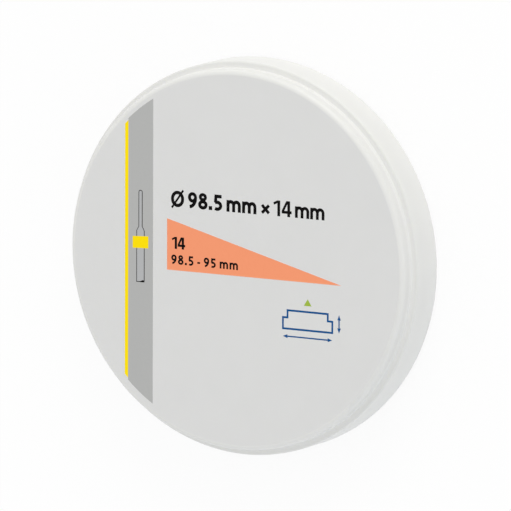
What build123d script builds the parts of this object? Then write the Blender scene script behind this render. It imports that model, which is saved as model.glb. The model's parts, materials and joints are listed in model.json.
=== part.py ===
from build123d import *
import os

# A pre-sintered ceramic milling disc, all sizes in millimetres.
# It lies on its back face: the origin is the centre of that face, +Z points out of
# the printed front, and +Y points to the top of the print.

# Collar: the full-width band that a milling machine's holder grips.
COLLAR_DIAMETER = 98.5
COLLAR_HEIGHT = 10.0
COLLAR_BACK_ROUND = 0.6
COLLAR_SHOULDER_ROUND = 0.5

# Shoulder: the flat ring in front of the collar, on which the holder's clamp ring bears.
SHOULDER_WIDTH = 1.75

# Step: the raised front, which stands inside the clamp ring.
STEP_HEIGHT = 4.0
STEP_EDGE_ROUND = 1.2

# Blend in the inner corner where the step rises from the shoulder.
ROOT_BLEND = 0.4

# The step's diameter of 95 mm follows from the collar and the shoulder around it.
STEP_DIAMETER = COLLAR_DIAMETER - 2 * SHOULDER_WIDTH

COLLAR_RADIUS = COLLAR_DIAMETER / 2
STEP_RADIUS = STEP_DIAMETER / 2
FRONT_Z = COLLAR_HEIGHT + STEP_HEIGHT

# A round never takes more than these shares of the walls that it joins, so that a
# flat shoulder and a straight wall are always left for the clamp.
SHARE_OF_SHOULDER = 0.4
SHARE_OF_HEIGHT = 0.45


def fitting_round(wanted, *walls):
    """The wanted radius, or less where one of the walls beside it is short."""
    return min(wanted, *walls)


def disc_section():
    """Half of the disc's section, from its axis to its rim, in radius and height."""
    shoulder_room = SHARE_OF_SHOULDER * SHOULDER_WIDTH
    collar_room = SHARE_OF_HEIGHT * COLLAR_HEIGHT
    step_room = SHARE_OF_HEIGHT * STEP_HEIGHT
    rounded_corners = [
        (COLLAR_RADIUS, 0, fitting_round(COLLAR_BACK_ROUND, collar_room)),
        (COLLAR_RADIUS, COLLAR_HEIGHT, fitting_round(COLLAR_SHOULDER_ROUND, shoulder_room, collar_room)),
        (STEP_RADIUS, COLLAR_HEIGHT, fitting_round(ROOT_BLEND, shoulder_room, step_room)),
        (STEP_RADIUS, FRONT_Z, fitting_round(STEP_EDGE_ROUND, step_room)),
    ]
    with BuildSketch() as section:
        with BuildLine():
            Polyline(
                (0, 0),
                (COLLAR_RADIUS, 0),
                (COLLAR_RADIUS, COLLAR_HEIGHT),
                (STEP_RADIUS, COLLAR_HEIGHT),
                (STEP_RADIUS, FRONT_Z),
                (0, FRONT_Z),
                close=True,
            )
        make_face()
        for radius, height, round_radius in rounded_corners:
            corner = section.vertices().sort_by_distance((radius, height))[0]
            fillet(corner, radius=round_radius)
    return section.sketch


def milling_disc():
    """The whole disc: one pressed blank, turned to a stepped round section."""
    return revolve(Plane.XZ * disc_section(), axis=Axis.Z)


os.makedirs("parts", exist_ok=True)
disc = milling_disc()
export_step(disc, "parts/milling_disc.step")
print("milling_disc", round(disc.volume, 1), "mm3", disc.bounding_box())
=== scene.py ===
import json
import math

import bpy
from mathutils import Matrix, Vector
from mathutils.geometry import delaunay_2d_cdt


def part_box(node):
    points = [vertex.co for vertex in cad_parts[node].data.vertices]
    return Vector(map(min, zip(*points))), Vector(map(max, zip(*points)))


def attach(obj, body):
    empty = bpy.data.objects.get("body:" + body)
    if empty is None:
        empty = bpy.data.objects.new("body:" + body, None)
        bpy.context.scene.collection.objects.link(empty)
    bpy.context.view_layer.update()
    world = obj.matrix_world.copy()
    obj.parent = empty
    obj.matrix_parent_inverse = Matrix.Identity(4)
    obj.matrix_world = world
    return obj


# A dental milling disc: a chalk-white ceramic blank that lies on its back, with a flat
# print on its front. Blender's lengths are metres, and MM turns millimetres into them.
MM = 0.001

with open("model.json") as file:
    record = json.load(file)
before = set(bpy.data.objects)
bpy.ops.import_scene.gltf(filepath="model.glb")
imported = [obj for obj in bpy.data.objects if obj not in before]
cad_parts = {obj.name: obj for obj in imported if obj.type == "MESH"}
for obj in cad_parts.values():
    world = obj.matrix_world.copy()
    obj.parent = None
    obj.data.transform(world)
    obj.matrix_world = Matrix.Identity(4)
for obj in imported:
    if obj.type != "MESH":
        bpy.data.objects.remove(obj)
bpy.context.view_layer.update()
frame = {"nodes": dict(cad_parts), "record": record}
disc = frame["nodes"]["milling_disc"]
disc_low, disc_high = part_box("milling_disc")
FACE_Z = disc_high.z

# The photograph's frame and where it was taken from.
PHOTO_SIZE_PX = 511
PX_PER_MM = 4.047
FACE_CENTRE_PX = Vector((235.9, 260.8))
CAMERA_TURN = math.radians(29.85)
CAMERA_RISE = math.radians(9.28)
CAMERA_ROLL = math.radians(0.19)
CAMERA_DISTANCE = 3.0

# Light levels, where 1 shows a white surface as white, and the lamps' powers in watts.
SKY_LEVEL = 0.87
BACKGROUND_LEVEL = 1.0
FLOOR_SHADOW_SHARE = 0.15
KEY_POWER = 7.0
SIDE_POWER = 1.5
WHITE = (1, 1, 1, 1)

# The layers of ink: each is this thick, and starts a little inside what is under it.
INK_THICKNESS = 0.02 * MM
INK_SINK = 0.005 * MM


def photo_camera():
    """The camera, at the photograph's angle to the printed face."""
    to_camera = Vector((
        math.cos(CAMERA_RISE) * math.sin(CAMERA_TURN),
        math.sin(CAMERA_RISE),
        math.cos(CAMERA_RISE) * math.cos(CAMERA_TURN),
    ))
    level = Vector((math.cos(CAMERA_TURN), 0, -math.sin(CAMERA_TURN)))
    right = Matrix.Rotation(CAMERA_ROLL, 3, to_camera) @ level
    up = to_camera.cross(right)
    middle_px = PHOTO_SIZE_PX / 2
    aside = (middle_px - FACE_CENTRE_PX.x) / PX_PER_MM * MM
    above = (FACE_CENTRE_PX.y - middle_px) / PX_PER_MM * MM
    target = Vector((0, 0, FACE_Z)) + right * aside + up * above
    data = bpy.data.cameras.new("camera")
    data.sensor_width = 36.0
    frame_width = PHOTO_SIZE_PX / PX_PER_MM * MM
    data.lens = data.sensor_width * CAMERA_DISTANCE / frame_width
    data.clip_start = 0.1
    data.clip_end = 20.0
    camera = bpy.data.objects.new("camera", data)
    bpy.context.scene.collection.objects.link(camera)
    axes = Matrix((right, up, to_camera)).transposed()
    camera.matrix_world = Matrix.Translation(target + to_camera * CAMERA_DISTANCE) @ axes.to_4x4()
    bpy.context.scene.camera = camera


def node(tree, kind, **settings):
    """A new shader node, with some of its settings and inputs filled in."""
    made = tree.nodes.new(kind)
    for key, value in settings.items():
        if key in made.inputs:
            made.inputs[key].default_value = value
        else:
            setattr(made, key, value)
    return made


def math_node(tree, operation, first, second=None):
    """One arithmetic step on sockets or numbers; gives the result's socket."""
    made = node(tree, "ShaderNodeMath", operation=operation)
    for slot, value in enumerate((first, second)):
        if value is None:
            continue
        if isinstance(value, (int, float)):
            made.inputs[slot].default_value = value
        else:
            tree.links.new(value, made.inputs[slot])
    return made.outputs[0]


def vector_length(tree, vector):
    """The length of a vector."""
    made = node(tree, "ShaderNodeVectorMath", operation="LENGTH")
    tree.links.new(vector, made.inputs[0])
    return made.outputs["Value"]


def flat_length(tree, x, y):
    """The length of a flat vector, given by its two parts."""
    vector = tree.nodes.new("ShaderNodeCombineXYZ")
    tree.links.new(x, vector.inputs["X"])
    tree.links.new(y, vector.inputs["Y"])
    return vector_length(tree, vector.outputs[0])


def ramp(tree, value, start, end, first, last, curve="LINEAR"):
    """A number that goes from first to last while the value goes from start to end."""
    made = node(tree, "ShaderNodeMapRange", interpolation_type=curve)
    for name, number in (("From Min", start), ("From Max", end), ("To Min", first), ("To Max", last)):
        made.inputs[name].default_value = number
    tree.links.new(value, made.inputs["Value"])
    return made.outputs[0]


def fade(tree, distance, reach):
    """1 where a distance is nothing, and smoothly down to 0 at the reach."""
    return ramp(tree, distance, 0, reach, 1, 0, "SMOOTHSTEP")


def seen_directly(tree):
    """1 for a ray from the camera, a gloss or a glass, and 0 for the rest."""
    path = tree.nodes.new("ShaderNodeLightPath")
    glossy = math_node(tree, "MAXIMUM", path.outputs["Is Camera Ray"], path.outputs["Is Glossy Ray"])
    return math_node(tree, "MAXIMUM", glossy, path.outputs["Is Transmission Ray"])


def mix_into(tree, output, share, first, second):
    """Sends two shaders to the tree's output, the second of them by its share."""
    mix = tree.nodes.new("ShaderNodeMixShader")
    out = tree.nodes.new(output)
    for slot, socket in enumerate((share, first.outputs[0], second.outputs[0])):
        tree.links.new(socket, mix.inputs[slot])
    tree.links.new(mix.outputs[0], out.inputs[0])


def studio_world():
    """An even white room: soft light for the object, plain white where it is seen."""
    world = bpy.data.worlds.new("studio")
    world.use_nodes = True
    tree = world.node_tree
    tree.nodes.clear()
    light = node(tree, "ShaderNodeBackground", Color=WHITE, Strength=SKY_LEVEL)
    backdrop = node(tree, "ShaderNodeBackground", Color=WHITE, Strength=BACKGROUND_LEVEL)
    mix_into(tree, "ShaderNodeOutputWorld", seen_directly(tree), light, backdrop)
    bpy.context.scene.world = world


def floor_white():
    """Plain white where it is seen, with a share of the disc's shadow close to the disc, and
    a pale matte surface for the light that it sends on."""
    shadow_end = 0.18
    material = bpy.data.materials.new("floor_white")
    material.use_nodes = True
    tree = material.node_tree
    tree.nodes.clear()
    matte = node(tree, "ShaderNodeBsdfDiffuse", Color=(0.96, 0.96, 0.96, 1))
    white = node(tree, "ShaderNodeEmission", Color=WHITE, Strength=BACKGROUND_LEVEL)
    distance = vector_length(tree, tree.nodes.new("ShaderNodeNewGeometry").outputs["Position"])
    plain = ramp(tree, distance, disc_high.x, shadow_end, 1 - FLOOR_SHADOW_SHARE, 1)
    share = math_node(tree, "MULTIPLY", seen_directly(tree), plain)
    mix_into(tree, "ShaderNodeOutputMaterial", share, matte, white)
    return material


def studio_floor():
    """A wide floor just under the disc."""
    half = 3.0
    mesh = bpy.data.meshes.new("floor")
    corners = [(-half, -half, 0), (half, -half, 0), (half, half, 0), (-half, half, 0)]
    mesh.from_pydata(corners, [], [(0, 1, 2, 3)])
    mesh.materials.append(floor_white())
    floor = bpy.data.objects.new("floor", mesh)
    floor.location.z = disc_low.z - INK_THICKNESS
    bpy.context.scene.collection.objects.link(floor)


def soft_box(name, place, size, power, colour):
    """A square studio lamp at a place, turned to the disc's middle."""
    data = bpy.data.lights.new(name, "AREA")
    data.size = size
    data.energy = power
    data.color = colour
    lamp = bpy.data.objects.new(name, data)
    lamp.location = place
    lamp.rotation_mode = "QUATERNION"
    lamp.rotation_quaternion = (-Vector(place)).to_track_quat("-Z", "Y")
    bpy.context.scene.collection.objects.link(lamp)


def studio_lamps():
    """A warm key lamp beyond the print's top edge, and a weak cool one at its lower right."""
    warm = (1.0, 0.995, 0.93)
    cool = (0.6, 0.82, 1.0)
    soft_box("key_lamp", place=(0.36, 1.35, 0.5), size=0.9, power=KEY_POWER, colour=warm)
    soft_box("side_lamp", place=(0.69, -1.2, 0.3), size=0.8, power=SIDE_POWER, colour=cool)


def principled(name, roughness, specular):
    """A new material of some gloss, with its node tree and its surface shader."""
    material = bpy.data.materials.new(name)
    material.use_nodes = True
    tree = material.node_tree
    surface = tree.nodes["Principled BSDF"]
    surface.inputs["Roughness"].default_value = roughness
    surface.inputs["Specular IOR Level"].default_value = specular
    return material, tree, surface


def noise(tree, coordinates, size, detail):
    """A soft noise whose features are about one size across."""
    made = node(tree, "ShaderNodeTexNoise", Scale=1 / size, Detail=detail)
    tree.links.new(coordinates, made.inputs["Vector"])
    return made.outputs["Fac"]


def blend_colours(tree, factor, low, high):
    """A colour between two others, each of them a tone or another node's colour."""
    mix = node(tree, "ShaderNodeMix", data_type="RGBA")
    tree.links.new(factor, mix.inputs["Factor"])
    for name, colour in (("A", low), ("B", high)):
        if isinstance(colour, tuple):
            mix.inputs[name].default_value = (*colour, 1)
        else:
            tree.links.new(colour, mix.inputs[name])
    return mix.outputs["Result"]


def relief(tree, surface, height, strength, depth):
    """Gives a surface fine bumps, from a socket that says how high each point is."""
    bump = node(tree, "ShaderNodeBump", Strength=strength, Distance=depth)
    tree.links.new(height, bump.inputs["Height"])
    tree.links.new(bump.outputs[0], surface.inputs["Normal"])


def near_ring(tree, section, radius, height, reach):
    """1 on a ring round the disc's axis, and smoothly down to 0 at a reach from it. The section
    holds each point's own radius and height."""
    across = math_node(tree, "SUBTRACT", section[0], radius)
    along = math_node(tree, "SUBTRACT", section[1], height)
    return fade(tree, flat_length(tree, across, along), reach)


def ceramic_colour(tree, place, section):
    """A cloudy white, greyer on the flat front as painted shade. Painted light makes it paler in the
    shoulder's corner and toward the foot, and painted shade darkens the collar's front edge."""
    cloud_size = 9 * MM
    # Painted bounce light in the shoulder's corner: how far it reaches, and its paler tone, which the foot
    # shares.
    corner_light_reach = 1.8 * MM
    painted_light_tone = (0.83, 0.83, 0.817)
    # Painted light toward the foot, where the floor sends light back.
    foot_reach = 8 * MM
    foot_share = 0.33
    # Painted shade along the collar's front edge: how far it reaches, and its darker tone.
    edge_shade_reach = 0.7 * MM
    painted_shade_tone = (0.705, 0.705, 0.69)
    mounts = {mount["name"]: mount for mount in frame["record"]["mounts"]}
    step_radius = mounts["step_wall"]["dims"]["r_mm"] * MM
    rim_radius = mounts["collar_rim"]["dims"]["r_mm"] * MM
    shoulder_z = mounts["clamp_shoulder"]["pos_m"][2]
    flat_radius = max(point.co.xy.length for point in disc.data.vertices if point.co.z > FACE_Z - INK_SINK)

    cloud = noise(tree, place, cloud_size, 3.0)
    turned = blend_colours(tree, cloud, (0.729, 0.729, 0.715), (0.754, 0.754, 0.74))
    # The flat front's greyer tone is painted shade, standing in for the front taking less light than the
    # rim.
    painted_shade_face = blend_colours(tree, cloud, (0.7, 0.7, 0.694), (0.724, 0.724, 0.718))
    radius, height = section
    # The shoulder's corner is paler: painted bounce light off the lit step wall.
    corner = near_ring(tree, section, step_radius, shoulder_z, corner_light_reach)
    # Paler toward the foot: painted light from the floor under it.
    foot = math_node(tree, "MULTIPLY", fade(tree, height, foot_reach), foot_share)
    painted_light_colour = blend_colours(tree, math_node(tree, "MAXIMUM", corner, foot), turned, painted_light_tone)
    # Darker along the collar's front edge: painted shade that dims its highlight.
    edge_shade_mask = near_ring(tree, section, rim_radius, shoulder_z, edge_shade_reach)
    edge_shaded_colour = blend_colours(tree, edge_shade_mask, painted_light_colour, painted_shade_tone)
    # The flat front, which takes the painted shade.
    within = math_node(tree, "LESS_THAN", radius, flat_radius)
    in_front = math_node(tree, "GREATER_THAN", height, FACE_Z - INK_THICKNESS)
    return blend_colours(tree, math_node(tree, "MULTIPLY", within, in_front), edge_shaded_colour, painted_shade_face)


def ceramic_height(tree, place, section):
    """A chalky grain with the faint, even marks of turning."""
    grain_size = 0.35 * MM
    turning_pitch = 0.45 * MM
    mark_share = 0.12
    turns = 2 * math.pi / turning_pitch
    waves = [math_node(tree, "SINE", math_node(tree, "MULTIPLY", part, turns)) for part in section]
    marks = math_node(tree, "MULTIPLY", math_node(tree, "ADD", *waves), mark_share)
    return math_node(tree, "ADD", noise(tree, place, grain_size, 4.0), marks)


def ceramic():
    """Pre-sintered zirconia: chalky, with a slight sheen, and light passes a little into it."""
    material, tree, surface = principled("zirconia", roughness=0.4, specular=0.35)
    surface.inputs["Subsurface Weight"].default_value = 0.35
    surface.inputs["Subsurface Radius"].default_value = (1.0, 1.0, 0.9)
    surface.inputs["Subsurface Scale"].default_value = 1.2 * MM
    place = tree.nodes.new("ShaderNodeTexCoord").outputs["Object"]
    parts = tree.nodes.new("ShaderNodeSeparateXYZ")
    tree.links.new(place, parts.inputs[0])
    section = (flat_length(tree, parts.outputs["X"], parts.outputs["Y"]), parts.outputs["Z"])
    tree.links.new(ceramic_colour(tree, place, section), surface.inputs["Base Color"])
    relief(tree, surface, ceramic_height(tree, place, section), strength=0.25, depth=0.02 * MM)
    return material


def ink(name, thin, full):
    """Printing ink: matte, a little uneven in depth, on the chalky ceramic."""
    mottle_size = 0.6 * MM
    grain_size = 0.3 * MM
    material, tree, surface = principled(name, roughness=0.55, specular=0.05)
    place = tree.nodes.new("ShaderNodeTexCoord").outputs["Object"]
    mottle = noise(tree, place, mottle_size, 3.0)
    tree.links.new(blend_colours(tree, mottle, thin, full), surface.inputs["Base Color"])
    relief(tree, surface, noise(tree, place, grain_size, 2.0), strength=0.2, depth=0.01 * MM)
    return material


# The print is drawn in millimetres from the face's centre. A patch, a stroke and a ring
# are each a list of points and a list of faces between them.

def patch(points):
    """One flat outline: its corners, turned anticlockwise, and its one face."""
    doubled_area = sum(points[i - 1][0] * y - x * points[i - 1][1] for i, (x, y) in enumerate(points))
    corners = list(points) if doubled_area > 0 else list(reversed(points))
    return corners, [tuple(range(len(corners)))]


def arc(centre, radii, start, end, steps=20):
    """Points along part of an ellipse, between two angles in degrees."""
    turns = [math.radians(start + (end - start) * i / steps) for i in range(steps + 1)]
    return [(centre[0] + radii[0] * math.cos(t), centre[1] + radii[1] * math.sin(t)) for t in turns]


def stroke(points, width, closed=False):
    """A flat band of even width along a line, with mitred corners, cut short where sharp."""
    least_cosine = 0.3
    spine = [Vector(point) for point in points]
    count = len(spine)
    sides = []
    for i, here in enumerate(spine):
        before = spine[i - 1] if closed or i > 0 else here * 2 - spine[1]
        after = spine[(i + 1) % count] if closed or i < count - 1 else here * 2 - spine[i - 1]
        leaving = (after - here).normalized()
        along = ((here - before).normalized() + leaving).normalized()
        reach = width / 2 / max(along.dot(leaving), least_cosine)
        across = Vector((-along.y, along.x)) * reach
        sides += [tuple(here + across), tuple(here - across)]
    links = count if closed else count - 1
    faces = [(2 * i, 2 * i + 1, (2 * i + 3) % (2 * count), (2 * i + 2) % (2 * count)) for i in range(links)]
    return sides, faces


def ring(centre, outer_radii, width):
    """An upright oval band, given by its outer radii."""
    steps = 40
    radii = (outer_radii[0] - width / 2, outer_radii[1] - width / 2)
    return stroke(arc(centre, radii, 0, 360, steps)[:-1], width, closed=True)


# The figures are drawn one unit tall. Each function takes the width of its strokes and
# gives the figure's flat patches and how far it moves the pen on.

def figure_1(w):
    stem = 0.34
    flag = [(0.05, 0.85), (stem, 1.0), (stem + w, 1.0), (stem + w, 0.8), (stem, 0.82), (0.1, 0.7)]
    return [patch([(stem, 0), (stem + w, 0), (stem + w, 1), (stem, 1)]), patch(flag)], 0.72


def figure_4(w):
    stem = 0.6 - w
    low = 0.2
    high = low + 0.9 * w
    slope = [(0, high), (0.9 * w, high), (stem + 0.5 * w, 1), (stem - 0.4 * w, 1)]
    upright = [(stem, 0), (stem + w, 0), (stem + w, 1), (stem, 1)]
    bar = [(0, low), (0.71, low), (0.71, high), (0, high)]
    return [patch(slope), patch(upright), patch(bar)], 0.82


def figure_5(w):
    bar = stroke([(0.59, 1 - w / 2), (0.09, 1 - w / 2)], w)
    upright = stroke([(0.12 + w / 3, 1), (0.08 + w / 3, 0.5)], w)
    bowl = stroke(arc((0.27, 0.31), (0.365 - w / 2, 0.325 - w / 2), 128, -125), w)
    return [bar, upright, bowl], 0.78


def figure_8(w):
    return [ring((0.33, 0.755), (0.285, 0.26), 0.95 * w), ring((0.33, 0.285), (0.335, 0.3), w)], 0.8


def figure_9(w):
    bowl = ring((0.32, 0.685), (0.325, 0.33), w)
    tail = stroke(arc((0.07, 0.66), (0.575 - w / 2, 0.675 - w / 2), 5, -84), w)
    return [bowl, tail], 0.78


def letter_m(w):
    top = 0.745
    spring = 0.42
    left = w / 2
    pitch = (1.02 - w) / 2
    parts = [stroke([(left, 0), (left, top - 0.015)], w)]
    for i in (0, 1):
        middle = left + pitch * (i + 0.5)
        arch = arc((middle, spring), (pitch / 2, top - w / 2 - spring), 180, 0)
        foot = left + pitch * (i + 1)
        parts.append(stroke([*arch, (foot, 0)], w))
    return parts, 1.16


def sign_times(w):
    reach = 0.25
    middle = (reach + 0.02, 0.37)
    parts = []
    for lean in (1, -1):
        start = (middle[0] - reach, middle[1] - reach * lean)
        end = (middle[0] + reach, middle[1] + reach * lean)
        parts.append(stroke([start, end], w))
    return parts, 0.66


def sign_diameter(w):
    slash = stroke([(0.06, -0.07), (0.88, 1.07)], 0.62 * w)
    return [ring((0.47, 0.5), (0.47, 0.515), w), slash], 1.06


def sign_point(w):
    side = 1.15 * w
    return [patch([(0, 0), (side, 0), (side, side), (0, side)])], side + 0.13


def sign_dash(w):
    return [stroke([(0, 0.37), (0.34, 0.37)], 0.9 * w)], 0.46


def space(w):
    return [], 0.26


# What each letter of a written line stands for: d is the diameter sign and x is times.
FIGURES = {
    "1": figure_1,
    "4": figure_4,
    "5": figure_5,
    "8": figure_8,
    "9": figure_9,
    "m": letter_m,
    "x": sign_times,
    "d": sign_diameter,
    ".": sign_point,
    "-": sign_dash,
    " ": space,
}


def lettering(words, left, right, baseline, height, weight):
    """A line of plain figures between two ends, its gaps opened or closed to fit."""
    drawn = [FIGURES[letter](weight) for letter in words]
    extent = sum(advance for _, advance in drawn[:-1])
    last = max(x for points, _ in drawn[-1][0] for x, _ in points)
    spare = ((right - left) / height - extent - last) / (len(words) - 1)
    pen = 0
    line = []
    for shapes, advance in drawn:
        for points, faces in shapes:
            placed = [(left + (pen + x) * height, baseline + y * height) for x, y in points]
            line.append((placed, faces))
        pen += advance + spare
    return line


def raise_faces(points, faces, bottom, top):
    """A closed layer: the same faces at two heights, with walls along their free edges."""
    used = sorted({i for face in faces for i in face})
    count = len(used)
    low = [tuple(used.index(i) for i in face) for face in faces]
    high = [tuple(i + count for i in face) for face in low]
    edges = [(face[i - 1], face[i]) for face in low for i in range(len(face))]
    shared = set(edges)
    walls = [(a, b, b + count, a + count) for a, b in edges if (b, a) not in shared]
    corners = [(points[i].x * MM, points[i].y * MM, z) for z in (bottom, top) for i in used]
    return corners, [face[::-1] for face in low] + high + walls


def print_piece(name, patches, material, layer=1):
    """Flat patches joined to one outline and raised to a thin closed layer of ink, which
    casts no shadow or tint of its own."""
    merge_distance = 0.0001
    corners = []
    faces = []
    for points, point_faces in patches:
        faces += [tuple(len(corners) + i for i in face) for face in point_faces]
        corners += [Vector(point) for point in points]
    points, _, joined, _, _, sources = delaunay_2d_cdt(corners, [], faces, 0, merge_distance)
    covered = [face for face, source in zip(joined, sources) if source]
    bottom = FACE_Z + (layer - 1) * INK_THICKNESS - INK_SINK
    top = FACE_Z + layer * INK_THICKNESS
    mesh = bpy.data.meshes.new(name)
    layer_points, layer_faces = raise_faces(points, covered, bottom, top)
    mesh.from_pydata(layer_points, [], layer_faces)
    mesh.materials.append(material)
    piece = bpy.data.objects.new(name, mesh)
    piece.visible_shadow = False
    piece.visible_diffuse = False
    bpy.context.scene.collection.objects.link(piece)
    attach(piece, "root")


def strip(left, right, radius, steps):
    """An upright strip whose ends follow the circle that bounds the print. The circle's
    middle is a little above the face's."""
    raised = 0.35
    across = [left + (right - left) * i / steps for i in range(steps + 1)]
    half_heights = [math.sqrt(radius ** 2 - x ** 2) for x in across]
    top = [(x, raised + h) for x, h in zip(across, half_heights)]
    bottom = [(x, raised - h) for x, h in zip(across, half_heights)]
    return patch(top + bottom[::-1])


def print_band():
    """The grey band with a yellow line along its outer edge."""
    line_left = -31.8
    band_left = -30.85
    band_right = -23.75
    band = strip(band_left, band_right, radius=45.1, steps=12)
    line = strip(line_left, band_left, radius=44.75, steps=3)
    print_piece("print_band", [band], band_grey)
    print_piece("print_yellow_line", [line], yellow)


def bur_outline(grow):
    """The plain outline of a milling bur that stands on its shank, grown all round."""
    middle = -27.32
    tip_centre = 14.95
    tip = 0.48 + grow
    shank = 1.08 + grow
    waist = 6.35
    shoulder = 5.3
    foot = -7.48 - grow
    slant = 0.08
    points = arc((middle, tip_centre), (tip, tip), 0, 180, 12)
    points += [(middle - tip, waist), (middle - shank, shoulder), (middle - shank, foot - slant)]
    points += [(middle + shank, foot), (middle + shank, shoulder), (middle + tip, waist)]
    return patch(points)


def print_bur():
    """The sketch of a milling bur, with its yellow collar, on the grey band."""
    line = 0.11
    shade = [(-27.9, -7.55), (-27.2, -7.36), (-26.75, -7.14)]
    shade += [(-26.28, -7.12), (-26.28, -7.66), (-27.2, -7.68)]
    collar = [(-29.55, 0.83), (-25.05, 1.0), (-25.05, 4.02), (-29.55, 3.8)]
    print_piece("print_bur_line", [bur_outline(line)], line_grey, layer=2)
    print_piece("print_bur_body", [bur_outline(-line)], band_light, layer=3)
    print_piece("print_bur_foot", [patch(shade)], black, layer=4)
    print_piece("print_bur_collar", [patch(collar)], yellow, layer=4)


def print_wedge():
    """The salmon wedge with plain sizes in it."""
    wedge = [(-19.7, -3.85), (30.0, -3.72), (-19.7, 9.04)]
    high = lettering("14", left=-18.5, right=-14.5, baseline=1.55, height=3.0, weight=0.215)
    wide = lettering("98.5 - 95 mm", left=-18.45, right=0.6, baseline=-2.3, height=2.35, weight=0.21)
    print_piece("print_wedge", [patch(wedge)], salmon)
    print_piece("print_height", high, black, layer=2)
    print_piece("print_widths", wide, black, layer=2)


def print_sizes():
    """The size line over the wedge, in plain figures."""
    wide = lettering("d 98.5 mm", left=-18.6, right=5.8, baseline=12.1, height=4.0, weight=0.215)
    high = lettering("x 14 mm", left=7.3, right=25.1, baseline=12.15, height=3.95, weight=0.2)
    print_piece("print_size_wide", wide, black)
    print_piece("print_size_high", high, black)


def double_arrow(start, end, width):
    """A size line with an arrowhead at each end."""
    head = 2.6 * width
    first = Vector(start)
    last = Vector(end)
    along = (last - first).normalized()
    across = Vector((-along.y, along.x))
    parts = [stroke([first + along * head / 2, last - along * head / 2], 0.7 * width)]
    for tip, inward in ((first, along), (last, -along)):
        base = tip + inward * head
        parts.append(patch([tuple(tip), tuple(base + across * width), tuple(base - across * width)]))
    return parts


def print_side_sketch():
    """A small sketch of the disc's side in blue, with its two sizes and a green arrow."""
    line = 0.5
    middle = 20.45
    collar = 7.0
    step = 5.7
    foot = -15.7
    shoulder = -12.9
    top = -11.1
    size_line_gap = 1.9
    arrow_half = 1.1
    arrow_foot = -9.6
    arrow_tip = -7.9
    profile = [(middle - collar, foot), (middle + collar, foot), (middle + collar, shoulder)]
    profile += [(middle + step, shoulder), (middle + step, top), (middle - step, top)]
    profile += [(middle - step, shoulder), (middle - collar, shoulder)]
    wide = foot - size_line_gap
    high = middle + collar + size_line_gap
    parts = [stroke(profile, line, closed=True)]
    parts += double_arrow((middle - collar, wide), (middle + collar, wide), line)
    parts += double_arrow((high, foot), (high, top), line)
    print_piece("print_side_sketch", parts, blue)
    arrow = [(middle - arrow_half, arrow_foot), (middle + arrow_half, arrow_foot), (middle, arrow_tip)]
    print_piece("print_top_arrow", [patch(arrow)], green)


band_grey = ink("ink_band_grey", (0.444, 0.446, 0.44), (0.463, 0.465, 0.459))
band_light = ink("ink_band_light", (0.447, 0.452, 0.46), (0.465, 0.47, 0.48))
line_grey = ink("ink_line_grey", (0.045, 0.045, 0.045), (0.07, 0.07, 0.07))
black = ink("ink_black", (0.002, 0.0018, 0.0018), (0.004, 0.0036, 0.0036))
yellow = ink("ink_yellow", (0.98, 0.72, 0.001), (0.995, 0.77, 0.004))
salmon = ink("ink_salmon", (0.905, 0.316, 0.162), (0.934, 0.335, 0.176))
blue = ink("ink_blue", (0.006, 0.075, 0.24), (0.01, 0.095, 0.28))
green = ink("ink_green", (0.32, 0.45, 0.05), (0.36, 0.5, 0.07))

disc.data.materials.clear()
disc.data.materials.append(ceramic())
print_band()
print_bur()
print_wedge()
print_sizes()
print_side_sketch()

photo_camera()
studio_world()
studio_floor()
studio_lamps()
bpy.context.scene.view_settings.view_transform = "Standard"
